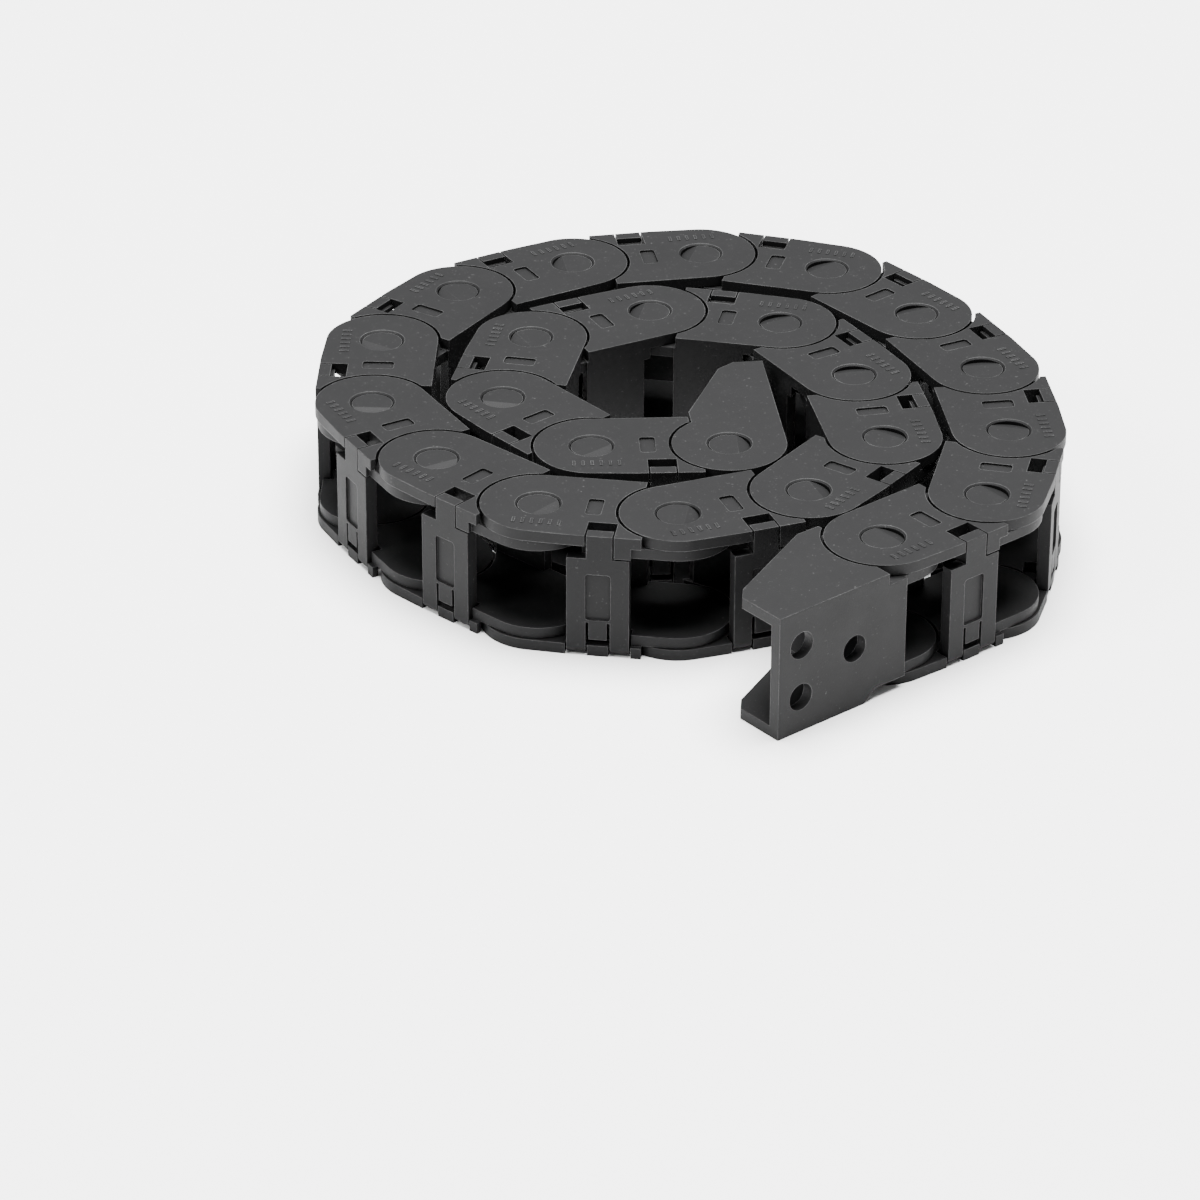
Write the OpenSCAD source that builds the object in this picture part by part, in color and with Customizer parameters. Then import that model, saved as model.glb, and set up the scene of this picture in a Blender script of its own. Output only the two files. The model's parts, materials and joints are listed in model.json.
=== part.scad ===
// Cable drag chain with snap-open lids, lying on its side and wound into a flat coil.
// Millimetres, +Z up. Every hinge stands along Z. X points from the outer bracket's end
// screws towards its hinge, and Z = 0 is the face that the coil lies on.

/* [Chain] */
// Distance between neighbouring hinges
pitch = 16; // [15:0.5:22]
// Clear width for the cables, from side plate to side plate
bore_w = 10; // [8:0.5:20]
// Clear height for the cables, from lid to crossbar
bore_h = 11; // [9:0.5:12]
// Largest bend between two links, in degrees
link_stop = 52.8; // [40:0.1:55]
// Largest bend between the last link and the inner bracket, in degrees
end_stop = 95; // [60:1:96]

/* [Side plates] */
// Thickness of the outer layer, which ends in the eye
eye_t = 1.35; // [1:0.05:2]
// Thickness of the inner layer, which ends in the tongue
tongue_t = 1.3; // [1:0.05:2]
// Gap between an eye and the tongue that turns against it
layer_gap = 0.1; // [0.05:0.01:0.2]
// Gap round an eye or a tongue, in the plane of the plates
edge_gap = 0.35; // [0.3:0.05:0.5]
// How far the outer edge slopes out from the eye before it runs straight
slope_x = 5; // [3:0.5:6]
// How far the inner tip stops short of the next hinge
inner_tip = 4.4; // [4:0.1:5]
// How far the outer tip stops short of the next hinge
outer_tip = 3.2; // [3:0.1:4]

/* [Hinge pins] */
// Radius of the hole in an eye
eye_hole_r = 2.5; // [2:0.1:3]
// Radial play of a pin in its eye
pin_play = 0.1; // [0.05:0.01:0.1]
// How far a pin stops below the face of its eye
pin_sunk = 0.2; // [0.1:0.05:0.5]
// Width of the chamfer round the eye's hole
hole_bevel = 0.2; // [0.1:0.05:0.4]
// Slope of the ramp that lets a pin snap into its eye, in degrees
ramp_slope = 16; // [10:1:25]

/* [Crossbar and lid] */
// Thickness of the fixed crossbar
bar_t = 1.2; // [1:0.1:1.6]
// Thickness of the lid
lid_t = 1.45; // [1.2:0.05:1.8]
// Play round the lid
lid_play = 0.18; // [0.1:0.01:0.25]
// Width of the latch that reaches through the upper plate
latch_w = 3; // [2.5:0.1:3.5]
// Length of the open slot beside the latch, where a screwdriver prys
pry_slot = 1.9; // [1.5:0.1:2.5]
// Depth of the small ledge behind the latch
ledge_d = 0.35; // [0.2:0.05:0.6]
// Width of the lid's two legs
leg_w = 2.2; // [1.6:0.1:2.4]
// Height of the lid's hinge above the base
axle_z = 1.05; // [1:0.05:1.3]
// Radius of the lid's axle
axle_r = 0.5; // [0.4:0.05:0.6]
// Depth of the lid's axle below the outer edge
axle_in = 0.85; // [0.8:0.05:0.9]
// Width of the slits beside the lid's spring finger
slit_w = 0.35; // [0.3:0.05:0.5]
// Height of the slits beside the lid's spring finger
finger_h = 1.4; // [1:0.1:2]
// How far the spring finger reaches below the lid's plate
finger_drop = 0.8; // [0.4:0.1:0.9]
// Width of the sunk panel in the lid
panel_w = 2.9; // [2:0.1:3.5]
// Height of the sunk panel in the lid
panel_h = 5.9; // [4:0.1:7]
// Depth of the sunk panel, and of the sunk field on the plate
sunk = 0.3; // [0.2:0.05:0.5]
// Width of the sunk field on the plate, along the chain
field_w = 1.8; // [1:0.1:2.5]
// Length of the sunk field on the plate, across the chain
field_h = 3.7; // [2:0.1:5]
// Radius of the corners of the sunk panel and field
corner_r = 0.4; // [0.2:0.05:0.6]

/* [Brackets] */
// Thickness of the wall that is screwed on
wall_t = 1.4; // [1:0.1:2]
// Radius of the screw holes
screw_r = 1.65; // [1.5:0.05:2]
// Distance between the two end screws
screw_gap = 6.6; // [6:0.1:8]
// Distance from the end screws to the middle screw, along the chain
screw_step = 7.9; // [7:0.1:10]
// Distance from the end screws to the bracket's free end
end_margin = 3.3; // [3:0.1:5]
// Distance from the outer bracket's hinge to its middle screw
outer_reach = 10.2; // [9:0.1:14]
// Distance from the inner bracket's hinge to its middle screw
inner_reach = 9.1; // [8.5:0.1:14]
// Distance from the outer bracket's hinge back to the end of its wall
window = 2.5; // [2:0.1:3]
// Distance from the outer bracket's hinge back to its plates' outer tip
bracket_outer_tip = 5.2; // [4.8:0.1:6]
// Distance from the outer bracket's hinge back to its plates' inner tip
bracket_inner_tip = 4; // [3.8:0.1:5]
// Distance from the outer bracket's hinge back to where its plates start to taper
outer_taper_x = 7.1; // [6.8:0.1:9]
// Height of the outer bracket's plates at the free end, behind its small cut corner
outer_end_h = 7.75; // [6:0.05:9]
// Length of the cut corner at the outer bracket's free end
outer_corner_w = 1.3; // [0.8:0.1:2]
// Height of the cut corner at the outer bracket's free end
outer_corner_h = 1.4; // [0.8:0.1:2]
// Distance from the inner bracket's hinge to where its plates start to taper
inner_taper_x = 8.2; // [7.5:0.1:9]
// How far the inner bracket's plates lie inside the round of its eye
inner_drop = 3; // [2.5:0.1:3.5]
// Height of the inner bracket's plates at the free end, in front of its small cut corner
inner_end_h = 5.5; // [4:0.1:7]
// Length of the cut corner at the inner bracket's free end
inner_corner_w = 1.5; // [1:0.1:2]
// Height of the cut corner at the inner bracket's free end
inner_corner_h = 2; // [1:0.1:2.5]
// Distance along the outer bracket from its middle screw to the step in its lower edge
step_from_screw = 1.6; // [1.6:0.1:3]

/* [Hidden] */
$fn = 64;
// How far each hinge is bent in the coil, from the outer bracket in, in degrees
bends = [0, 38, 20, 19, 14, 34, 25, 20, 27, 31, 32, 18, 34, 29, 34, 46, 21, 47, 38, 52, 52, 52, 94];
// Link height over pitch, and the stop, that the bends above belong to
wound_height = 0.853125;
wound_stop = 52.8;

links = len(bends) - 1;
inner_edge = bore_h / 2 + bar_t;
outer_edge = bore_h / 2 + lid_t;
end_r = inner_edge;
cut_r = end_r + edge_gap;
tongue_r = end_r - edge_gap + 0.05;
recess_r = tongue_r + edge_gap - 0.05;
plate_t = eye_t + layer_gap + tongue_t;
total_w = bore_w + 2 * plate_t;
pin_r = eye_hole_r - pin_play;
sink = 0.01;                    // how far a cut runs past the face that it opens
bar_side = sqrt(pow(recess_r, 2) - pow(bore_h / 2, 2)) + edge_gap;
latch_x = pitch / 2;
axle_y = axle_in - outer_edge;
leg_swing = axle_in + lid_play;  // how far from its axle the round end of a leg reaches
swing_y = axle_y + leg_swing;
lid_left = sqrt(pow(tongue_r, 2) - pow(swing_y, 2)) + edge_gap;
lid_right = pitch - sqrt(pow(end_r, 2) - pow(swing_y, 2)) - edge_gap / 2;
lid_w = lid_right - lid_left;
lid_x = (lid_left + lid_right) / 2;
block_w = lid_w - 2 * leg_w - 2 * lid_play;
finger_w = lid_w - 2 * leg_w - 2 * slit_w;
ramp_x = pin_r * 0.4;
plate_rise = 0.1;                // how much the outer bracket's plates widen towards its screws
pad_x = 2.5 * eye_t + recess_r;  // where a bracket's plates thin down to one layer
// Taller links or an earlier stop wind less tightly; flatter links a little more
flatness = pitch * wound_height / (inner_edge + outer_edge);
wind = min(flatness, pow(flatness, 0.2)) * min(1, link_stop / wound_stop);

// Heading of each body in the coil, and the hinge that each link starts from
function bend(k) = min(wind * bends[k], k == links ? end_stop : link_stop);
function heading(k) = k < 0 ? 0 : heading(k - 1) + bend(k);
function hinge(k) = k == 0 ? [outer_reach + screw_step, 0]
    : hinge(k - 1) + pitch * [cos(heading(k - 1)), sin(heading(k - 1))];
function number(k) = str(k < 10 ? "0" : "", k);
function link_name(k) = str("link_", number(k));
function lid_name(k) = str("lid_", number(k));

nylon = [0.16, 0.16, 0.17];
nylon_lid = [0.19, 0.19, 0.2];

// Puts a piece drawn at its own hinge where body k lies in the coil
module place(k) {
    translate(hinge(max(k - 1, 0))) rotate(heading(k - 1)) children();
}

// Repeats a lower plate as the upper one
module both_sides() {
    children();
    translate([0, 0, total_w]) mirror([0, 0, 1]) children();
}

// The strip of a neighbour's tongue, turned by a bend, with its running gap
module swept_strip(bend) {
    w = recess_r - edge_gap / 6;
    rotate(-bend) translate([-pitch, -w]) square([pitch, 2 * w]);
}

// Outer layer of a link's plate: eye, straight inner edge, sloped outer edge, two tips
module eye_layer() {
    difference() {
        union() {
            circle(end_r);
            polygon([[0, -end_r], [slope_x, -outer_edge], [pitch - outer_tip, -outer_edge],
                [pitch - outer_tip, 0], [pitch - inner_tip, 0], [pitch - inner_tip, inner_edge],
                [0, inner_edge]]);
        }
        translate([pitch, 0]) circle(cut_r);
        circle(eye_hole_r);
    }
}

// Inner layer of a link's plate: from the neighbour's tongue to its own
module tongue_layer() {
    difference() {
        union() {
            translate([pitch, 0]) circle(tongue_r);
            translate([pitch / 2, -tongue_r]) square([pitch / 2, 2 * tongue_r]);
            polygon([[recess_r / 2, -outer_edge], [pitch - inner_tip, -outer_edge],
                [pitch - inner_tip, inner_edge], [recess_r / 2, inner_edge]]);
        }
        translate([0, -outer_edge - sink]) square([latch_x, lid_t + pry_slot + sink]);
        circle(recess_r);
        swept_strip(link_stop);
    }
}

// A pin that stands out of a tongue, with the ramp that snaps it into the eye
module pin() {
    difference() {
        translate([0, 0, pin_sunk]) cylinder(r = pin_r, h = plate_t - pin_sunk);
        translate([ramp_x, -pin_r, pin_sunk]) rotate([0, -ramp_slope, 0])
            translate([0, 0, -2 * pin_r]) cube([2 * pin_r, 2 * pin_r, 2 * pin_r]);
    }
}

// The chamfer round an eye's hole
module eye_bevel() {
    translate([0, 0, -sink])
        cylinder(r1 = eye_hole_r + hole_bevel + sink, r2 = eye_hole_r, h = hole_bevel + sink);
}

// A link's plate with its outer face down
module link_plate() {
    difference() {
        union() {
            linear_extrude(eye_t) eye_layer();
            translate([0, 0, eye_t + layer_gap]) linear_extrude(tongue_t) tongue_layer();
            linear_extrude(plate_t) intersection() {
                eye_layer();
                tongue_layer();
            }
        }
        eye_bevel();
    }
    translate([pitch, 0, 0]) pin();
}

// The slot that the lid's latch closes, open to the outer edge
module latch_slot() {
    w = latch_w + 2 * lid_play;
    translate([latch_x - w / 2, -outer_edge - sink, total_w - plate_t - sink])
        cube([w, lid_t + pry_slot + sink, plate_t + 2 * sink]);
}

// The gap in the lower plate that the lid's legs swing in
module leg_gap() {
    w = lid_w + 2 * lid_play;
    translate([lid_x - w / 2, -outer_edge - sink, -sink])
        cube([w, axle_in + leg_swing + sink, plate_t + 2 * sink]);
}

// The block between the legs, with the open seat that the lid's axle snaps into
module axle_block() {
    difference() {
        translate([lid_x - block_w / 2, -outer_edge, 0])
            cube([block_w, axle_in + leg_swing + 2 * sink, eye_t]);
        lid_axle(axle_r + pin_play);
    }
}

// A rod along the lid's hinge line
module lid_axle(r) {
    translate([lid_left, axle_y, axle_z]) rotate([0, 90, 0]) cylinder(r = r, h = lid_w);
}

// A centred rectangle with round corners
module rounded(w, h) {
    square([w - 2 * corner_r, h], center = true);
    square([w, h - 2 * corner_r], center = true);
    for (x = [-1, 1], y = [-1, 1])
        translate([x * (w / 2 - corner_r), y * (h / 2 - corner_r)]) circle(corner_r);
}

// The shallow field sunk in the upper plate beside the eye
module sunk_field() {
    translate([latch_x - latch_w / 2, 0, total_w - sunk])
        linear_extrude(sunk + sink) rounded(field_w, field_h);
}

module link() {
    color(nylon) {
        difference() {
            union() {
                both_sides() link_plate();
                translate([bar_side, bore_h / 2, eye_t])
                    cube([pitch - 2 * bar_side, bar_t, total_w - 2 * eye_t]);
            }
            latch_slot();
            leg_gap();
            sunk_field();
        }
        axle_block();
    }
}

// Outline of a leg's side, round below and set round the axle at the origin
module leg_side() {
    difference() {
        union() {
            circle(axle_in);
            translate([-axle_in, 0]) square([lid_t, plate_t - axle_z + lid_play + sink]);
        }
        translate([lid_t - axle_in, -axle_in]) square([axle_in, 2 * axle_in]);
    }
}

// Lid: a plate with a latch above, and two legs with an axle between them below
module lid() {
    top = total_w - plate_t - lid_play;
    foot = plate_t + lid_play;
    color(nylon_lid) {
        translate([0, -outer_edge, 0]) difference() {
            union() {
                translate([lid_left, 0, foot]) cube([lid_w, lid_t, top - foot]);
                translate([latch_x - latch_w / 2, 0, top - sink])
                    cube([latch_w, lid_t, total_w - top + sink]);
                translate([latch_x - latch_w / 2, lid_t - sink, top - sink])
                    cube([latch_w, ledge_d + sink, (total_w - top) * 0.75]);
            }
            for (side = [-1, 1])
                translate([lid_x + side * (finger_w + slit_w) / 2 - slit_w / 2, -sink, foot - sink])
                    cube([slit_w, lid_t + 2 * sink, finger_h + sink]);
            translate([lid_x, sunk, foot + finger_h + sunk + panel_h / 2]) rotate([90, 0, 0])
                linear_extrude(sunk + sink) rounded(panel_w, panel_h);
        }
        translate([lid_x - finger_w / 2, -outer_edge, foot - finger_drop])
            cube([finger_w, lid_t, finger_drop + sink]);
        for (x = [lid_left, lid_right - leg_w])
            translate([x, axle_y, axle_z]) rotate([90, 0, 90]) linear_extrude(leg_w) leg_side();
        lid_axle(axle_r);
    }
}

// Screw holes through the wall that starts at wall_y; end_x and mid_x lie along it
module screw_holes(end_x, mid_x, wall_y) {
    for (at = [[end_x, -screw_gap / 2], [end_x, screw_gap / 2], [mid_x, 0]])
        translate([at[0], wall_y - sink, total_w / 2 + at[1]]) rotate([-90, 0, 0])
            cylinder(r = screw_r, h = wall_t + 2 * sink);
}

// Outline of the outer bracket's plate, with its hinge at the origin and its body behind
module outer_plate() {
    back = -outer_reach - screw_step - end_margin;
    tip = -bracket_outer_tip;
    polygon([[back, -outer_edge], [tip, -outer_edge], [tip, 0], [-bracket_inner_tip, 0],
        [-bracket_inner_tip, tongue_r], [-outer_taper_x, tongue_r + plate_rise],
        [back + outer_corner_w, outer_end_h - outer_edge],
        [back, outer_end_h - outer_corner_h - outer_edge]]);
}

// The slope at which the outer bracket's lower edge steps up to clear the first link
module lower_step() {
    h = eye_t + layer_gap;
    start = step_from_screw - outer_reach;
    translate([0, -outer_edge + 2 * wall_t, 0]) rotate([90, 0, 0]) linear_extrude(3 * wall_t)
        polygon([[start, -sink], [start + 1.2 * h, h], [0, h], [0, -sink]]);
}

module outer_bracket() {
    back = -outer_reach - screw_step - end_margin;
    color(nylon) difference() {
        union() {
            both_sides() {
                linear_extrude(eye_t) difference() {
                    outer_plate();
                    circle(cut_r);
                }
                translate([0, 0, eye_t + layer_gap]) linear_extrude(tongue_t) union() {
                    circle(tongue_r);
                    translate([-tongue_r, -tongue_r]) square([tongue_r, 2 * tongue_r]);
                }
                linear_extrude(plate_t) intersection() {
                    difference() {
                        outer_plate();
                        circle(cut_r);
                    }
                    translate([-pad_x, -pitch]) square([pad_x, 2 * pitch]);
                }
                pin();
            }
            translate([back, -outer_edge, eye_t + layer_gap])
                cube([-back - window, wall_t, total_w - 2 * (eye_t + layer_gap)]);
            linear_extrude(total_w) difference() {
                translate([back, -outer_edge]) square([-back - bracket_outer_tip, wall_t]);
                circle(cut_r);
            }
        }
        screw_holes(-outer_reach - screw_step, -outer_reach, -outer_edge);
        lower_step();
    }
}

// Outline of the inner bracket's plate, with its eye at the origin and its body in front
module inner_plate() {
    front = inner_reach + screw_step + end_margin;
    union() {
        circle(end_r);
        polygon([[0, -end_r], [front, -end_r], [front, inner_end_h - inner_corner_h - end_r],
            [front - inner_corner_w, inner_end_h - end_r], [inner_taper_x, end_r - inner_drop],
            [0, end_r - inner_drop]]);
    }
}

module inner_bracket() {
    front = inner_reach + screw_step + end_margin;
    color(nylon) difference() {
        union() {
            both_sides() {
                difference() {
                    linear_extrude(eye_t) difference() {
                        inner_plate();
                        circle(eye_hole_r);
                    }
                    eye_bevel();
                }
                linear_extrude(plate_t) difference() {
                    intersection() {
                        inner_plate();
                        translate([0, -pitch]) square([pad_x, 2 * pitch]);
                    }
                    circle(recess_r);
                    swept_strip(end_stop);
                    translate([-pitch, -pitch]) square([pitch + bar_side, 2 * pitch]);
                }
            }
            translate([bar_side, -end_r, eye_t / 2])
                cube([front - bar_side, wall_t, total_w - eye_t]);
        }
        screw_holes(inner_reach + screw_step, inner_reach, -end_r);
    }
}

place(0) outer_bracket();
place(links + 1) inner_bracket();
for (k = [1:links]) {
    place(k) link();
    place(k) lid();
}
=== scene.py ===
import json
import math
import bpy
import bmesh
from mathutils import Matrix, Vector


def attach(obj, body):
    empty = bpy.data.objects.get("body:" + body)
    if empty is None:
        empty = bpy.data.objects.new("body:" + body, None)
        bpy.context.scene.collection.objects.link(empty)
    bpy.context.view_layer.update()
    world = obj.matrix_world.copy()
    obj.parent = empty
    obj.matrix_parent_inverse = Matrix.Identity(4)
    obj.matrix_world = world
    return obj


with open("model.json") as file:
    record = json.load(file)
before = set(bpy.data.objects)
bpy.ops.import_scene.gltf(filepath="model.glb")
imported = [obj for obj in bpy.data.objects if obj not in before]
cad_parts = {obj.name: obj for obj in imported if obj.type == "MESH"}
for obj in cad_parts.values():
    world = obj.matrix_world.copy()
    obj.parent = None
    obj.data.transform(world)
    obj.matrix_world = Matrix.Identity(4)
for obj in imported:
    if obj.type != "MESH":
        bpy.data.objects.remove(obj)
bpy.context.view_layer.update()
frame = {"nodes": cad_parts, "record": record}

mm = 0.001
joints = {joint["name"]: joint for joint in frame["record"]["behaviour"]["joints"]}
linkNames = sorted(name for name in frame["nodes"] if name.startswith("link_"))
print("frame loaded:", len(frame["nodes"]), "nodes,", len(linkNames), "links")


# the view: from above the front left, along a long lens
camera = {
    "target": (-0.01576, 0.00897, 0.0155),
    "distance": 0.644,
    "elevation": 29.457,
    "turn": 39.707,    # how far the view is turned from the Y axis
    "roll": 0.17,
    "lens": 175.2,
    "sensor": 36,
    "near": 0.01,
    "far": 20,
}


def makeCamera():
    data = bpy.data.cameras.new("camera")
    data.lens = camera["lens"]
    data.sensor_width = camera["sensor"]
    data.clip_start = camera["near"]
    data.clip_end = camera["far"]
    item = bpy.data.objects.new("camera", data)
    bpy.context.scene.collection.objects.link(item)
    up, turn = math.radians(camera["elevation"]), math.radians(camera["turn"])
    back = Vector((-math.sin(turn) * math.cos(up), -math.cos(turn) * math.cos(up), math.sin(up)))
    place = Vector(camera["target"]) + back * camera["distance"]
    look = (-back).to_track_quat("-Z", "Y").to_matrix().to_4x4()
    roll = Matrix.Rotation(math.radians(camera["roll"]), 4, "Z")
    item.matrix_world = Matrix.Translation(place) @ look @ roll
    bpy.context.scene.camera = item


makeCamera()
print("camera placed")


# a socket that can be added, multiplied and so on, which makes the Math nodes
class Wire:
    def __init__(self, shader, socket):
        self.shader = shader
        self.socket = socket

    def math(self, operation, *values):
        return self.shader.node("ShaderNodeMath", {"operation": operation}, dict(enumerate(values)))

    def __add__(self, other): return self.math("ADD", self, other)
    def __radd__(self, other): return self.math("ADD", other, self)
    def __sub__(self, other): return self.math("SUBTRACT", self, other)
    def __rsub__(self, other): return self.math("SUBTRACT", other, self)
    def __mul__(self, other): return self.math("MULTIPLY", self, other)

    def clamp(self):
        return self.shader.node("ShaderNodeClamp", {}, {"Value": self})


class Shader:
    def __init__(self, name):
        self.material = bpy.data.materials.new(name)
        self.material.use_nodes = True
        self.tree = self.material.node_tree
        self.surface = self.tree.nodes["Principled BSDF"]

    # adds a node, sets it up, fills its sockets and gives back one output
    def node(self, kind, settings=None, values=None, output=0):
        item = self.tree.nodes.new(kind)
        for key, value in (settings or {}).items():
            setattr(item, key, value)
        for key, value in (values or {}).items():
            self.plug(item.inputs[key], value)
        return Wire(self, item.outputs[output])

    def noise(self, place, size, detail, roughness):
        return self.node("ShaderNodeTexNoise", {}, {
            "Vector": place, "Scale": 1 / size, "Detail": detail, "Roughness": roughness})

    # fades from one colour to another; sockets 6 and 7 and output 2 are the colour ones
    def mix(self, factor, first, second):
        return self.node("ShaderNodeMix", {"data_type": "RGBA"}, {
            0: factor, 6: first, 7: second}, 2)

    def plug(self, socket, value):
        if isinstance(value, Wire):
            self.tree.links.new(value.socket, socket)
        else:
            socket.default_value = value

    def finish(self, **values):
        for key, value in values.items():
            self.plug(self.surface.inputs[key.replace("_", " ")], value)
        return self.material


# moulded black nylon, with the fine matt grain of a spark-eroded mould
nylon = {
    "link": (0.0088, 0.0088, 0.0091, 1),
    "lid": (0.0082, 0.0082, 0.0085, 1),
    "bracket": (0.0092, 0.0092, 0.0095, 1),
    "rubbedEdgeAndHighlight": (0.13, 0.13, 0.131, 1),    # edges that have rubbed on other links, lightened also as a painted highlight where the rounded edges catch the light
    "haze": (0.018, 0.018, 0.0184, 1),    # fine handling marks
    "dust": (0.04, 0.04, 0.04, 1),
    # painted shade: near black, laid into creases, gaps and recesses
    "creaseShadow": (0.0015, 0.0015, 0.0015, 1),
    "noises": {
        # size, detail, roughness
        "grain": (0.2 * mm, 3, 0.6),
        "cloud": (6 * mm, 3, 0.55),
        "haze": (1.1 * mm, 5, 0.7),
        "dust": (0.3 * mm, 1, 0.5),
    },
    "noiseMiddle": 0.5,
    "edgeRadius": 0.15 * mm,
    "edgeGain": 6,
    "rubAndHighlightGain": 1.6,
    "rubAndHighlightStart": 1.1,
    "markStart": 0.56,
    "markGain": 5,
    "markCloud": 0.25,    # no handling marks where the clouds are below this
    "markStrength": 0.8,
    "speckStart": 0.66,
    "speckGain": 12,
    "speckHaze": 0.48,    # dust lies only where the haze is above this
    "speckHazeGain": 6,
    "creaseSize": 0.9 * mm,
    "creaseGain": 1.5,
    "creaseStart": 0.35,
    "grainDepth": 0.016 * mm,
    "grainStrength": 1.0,
    "roughness": 0.55,
    "cloudRoughness": 0.16,
    "hazeRoughness": 0.12,
    "edgeGloss": 0.08,
    "index": 1.22,
    "samples": 6,
}


def makeNylon(name, colour):
    shader = Shader(name)
    place = shader.node("ShaderNodeTexCoord", output="Object")
    noises = {key: shader.noise(place, *values) for key, values in nylon["noises"].items()}
    cloud, haze, dust = noises["cloud"], noises["haze"], noises["dust"]
    samples = {"samples": nylon["samples"]}

    # the edges, found where a rounded normal turns away from the flat one
    rounded = shader.node("ShaderNodeBevel", samples, {"Radius": nylon["edgeRadius"]})
    flat = shader.node("ShaderNodeNewGeometry", output="Normal")
    dot = {"operation": "DOT_PRODUCT"}
    facing = shader.node("ShaderNodeVectorMath", dot, {0: rounded, 1: flat}, "Value")
    edge = ((1 - facing) * nylon["edgeGain"]).clamp()
    # lighter colour on the edges: partly rub wear, partly a painted highlight of rounded edges
    # catching the light, broken into patches by the noise
    wearAndHighlightPatches = ((haze + cloud) * nylon["rubAndHighlightGain"] - nylon["rubAndHighlightStart"]).clamp()
    rubbedEdgeAndHighlight = (edge * wearAndHighlightPatches).clamp()

    hazy = ((haze - nylon["markStart"]) * nylon["markGain"]).clamp()
    marks = hazy * (cloud - nylon["markCloud"]).clamp() * nylon["markStrength"]
    dusty = ((dust - nylon["speckStart"]) * nylon["speckGain"]).clamp()
    specks = dusty * ((haze - nylon["speckHaze"]) * nylon["speckHazeGain"]).clamp()

    # painted shade: where ambient occlusion finds little open space, in creases, gaps and recesses,
    # the colour fades to near black, standing in for the shade that falls there
    creaseSize = {"Distance": nylon["creaseSize"]}
    bare = shader.node("ShaderNodeAmbientOcclusion", samples, creaseSize, "AO")
    clear = (bare * nylon["creaseGain"] - nylon["creaseStart"]).clamp()

    shade = shader.mix(marks, colour, nylon["haze"])
    shade = shader.mix(specks, shade, nylon["dust"])
    shade = shader.mix(rubbedEdgeAndHighlight, shade, nylon["rubbedEdgeAndHighlight"])
    # the painted crease shade goes on last, over every other colour
    shade = shader.mix(clear, nylon["creaseShadow"], shade)

    bumps = shader.node("ShaderNodeBump", {}, {
        "Height": noises["grain"], "Distance": nylon["grainDepth"],
        "Strength": nylon["grainStrength"], "Normal": rounded})
    middle = nylon["noiseMiddle"]
    cloudRough = (cloud - middle) * nylon["cloudRoughness"]
    hazeRough = (haze - middle) * nylon["hazeRoughness"]
    rough = nylon["roughness"] + cloudRough + hazeRough - edge * nylon["edgeGloss"]
    return shader.finish(Base_Color=shade, Roughness=rough, Normal=bumps, IOR=nylon["index"])


looks = {
    "link": makeNylon("linkNylon", nylon["link"]),
    "lid": makeNylon("lidNylon", nylon["lid"]),
    "outer": makeNylon("outerBracketNylon", nylon["bracket"]),
    "inner": makeNylon("innerBracketNylon", nylon["bracket"]),
}
for name, item in frame["nodes"].items():
    item.data.materials.clear()
    item.data.materials.append(looks[name.split("_")[0]])
print("nylon on", len(frame["nodes"]), "nodes")


# a row of low raised bars, moulded on each link's upper plate beside its eye
bars = {
    "count": 6,
    "start": -2.2 * mm,
    "step": 1.05 * mm,
    "width": 0.36 * mm,
    "length": 1.1 * mm,
    "side": -4.9 * mm,
    "height": 0.08 * mm,
    "sunk": 0.05 * mm,
    "top": 15.5 * mm,
}


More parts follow.
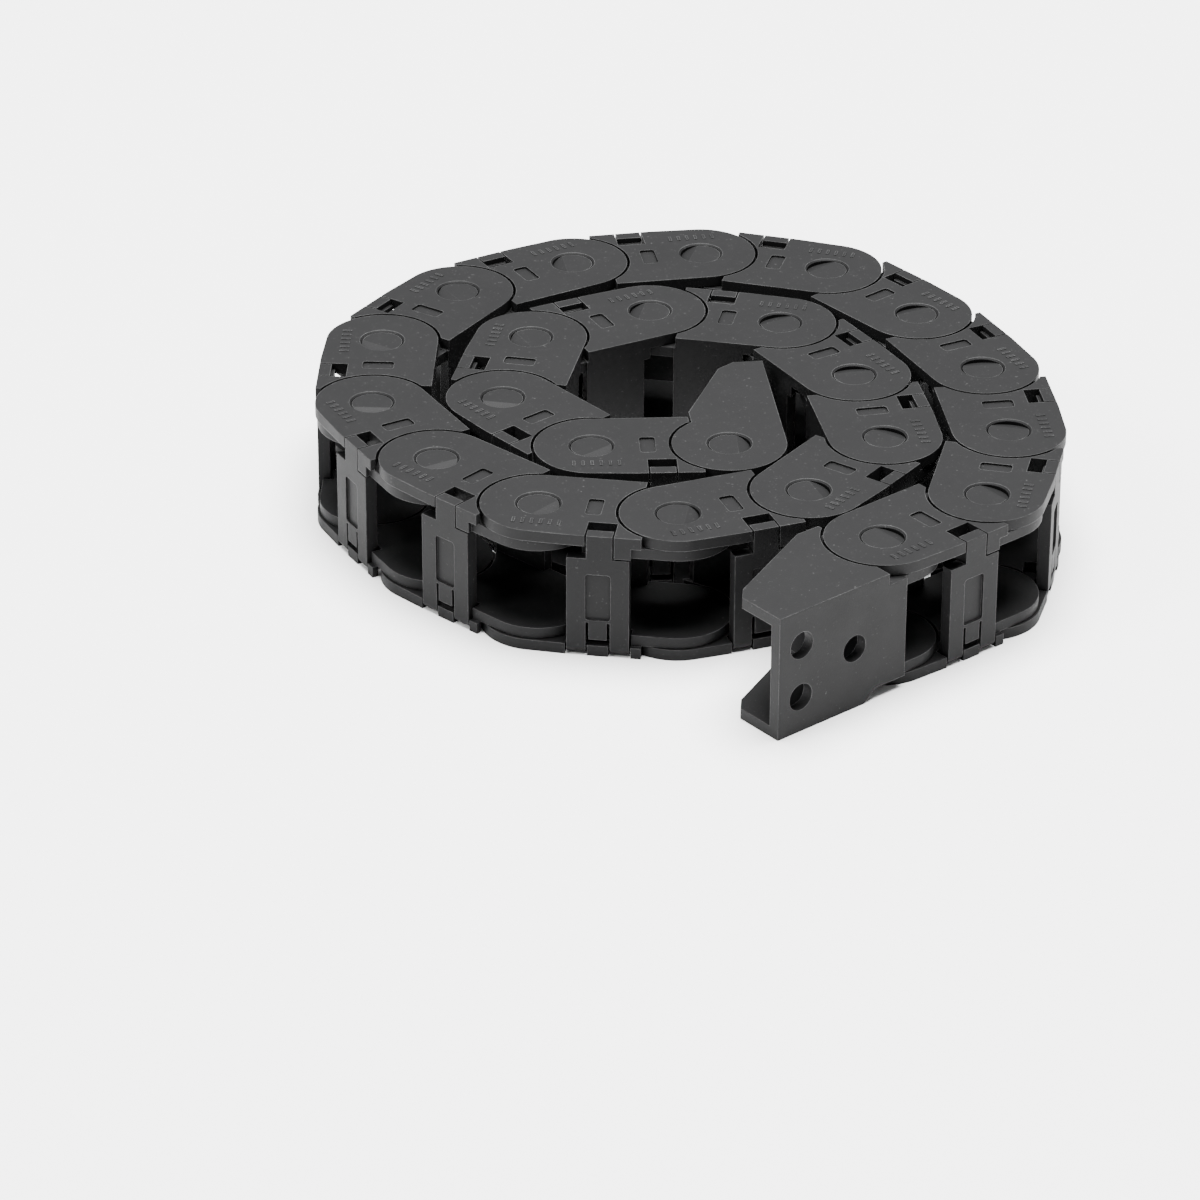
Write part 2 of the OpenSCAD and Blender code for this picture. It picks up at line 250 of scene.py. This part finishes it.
def makeBars(link):
    mesh = bpy.data.meshes.new(link + "Bars")
    shape = bmesh.new()
    size = Matrix.Diagonal((bars["width"], bars["length"], bars["height"] + bars["sunk"], 1))
    for index in range(bars["count"]):
        place = (bars["start"] + index * bars["step"], bars["side"] + bars["length"] / 2,
                 bars["top"] + (bars["height"] - bars["sunk"]) / 2)
        bmesh.ops.create_cube(shape, size=1, matrix=Matrix.Translation(place) @ size)
    number = link[-2:]
    axis = joints["lid_" + number + "_hinge"]["axis"]
    hinge = joints["hinge_" + number]["pos_m"]
    turn = Matrix.Rotation(math.atan2(axis[1], axis[0]), 4, "Z")
    shape.transform(Matrix.Translation((hinge[0], hinge[1], 0)) @ turn)
    shape.to_mesh(mesh)
    shape.free()
    mesh.materials.append(looks["link"])
    piece = bpy.data.objects.new(link + "Bars", mesh)
    bpy.context.scene.collection.objects.link(piece)
    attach(piece, link)


for link in linkNames:
    makeBars(link)
print("bars on", len(linkNames), "links")


# a pale floor, one big soft light above and a weaker one from the left
studio = {
    "floor": (0.96, 0.96, 0.96, 1),
    "floorSize": 8,
    "floorRoughness": 0.9,
    "sky": (1, 1, 1, 1),
    "skyPower": 0.32,
    "lights": [
        # place, size, power
        ((0.15, 0.1, 1.3), 1.1, 104),
        ((-0.75, 0.25, 0.7), 0.4, 6),
    ],
    "aim": (0.02, 0.03, 0.0),
}


def makeStudio():
    mesh = bpy.data.meshes.new("floor")
    half = studio["floorSize"] / 2
    corners = [(-half, -half, 0), (half, -half, 0), (half, half, 0), (-half, half, 0)]
    mesh.from_pydata(corners, [], [(0, 1, 2, 3)])
    floor = bpy.data.objects.new("floor", mesh)
    bpy.context.scene.collection.objects.link(floor)
    mesh.materials.append(Shader("paleFloor").finish(
        Base_Color=studio["floor"], Roughness=studio["floorRoughness"]))
    world = bpy.data.worlds.new("studio")
    world.use_nodes = True
    sky = world.node_tree.nodes["Background"]
    sky.inputs["Color"].default_value = studio["sky"]
    sky.inputs["Strength"].default_value = studio["skyPower"]
    bpy.context.scene.world = world
    for place, size, power in studio["lights"]:
        data = bpy.data.lights.new("softLight", "AREA")
        data.shape = "DISK"
        data.size = size
        data.energy = power
        lamp = bpy.data.objects.new("softLight", data)
        bpy.context.scene.collection.objects.link(lamp)
        aim = Vector(studio["aim"]) - Vector(place)
        look = aim.to_track_quat("-Z", "Y").to_matrix().to_4x4()
        lamp.matrix_world = Matrix.Translation(place) @ look


makeStudio()
print("studio lit")
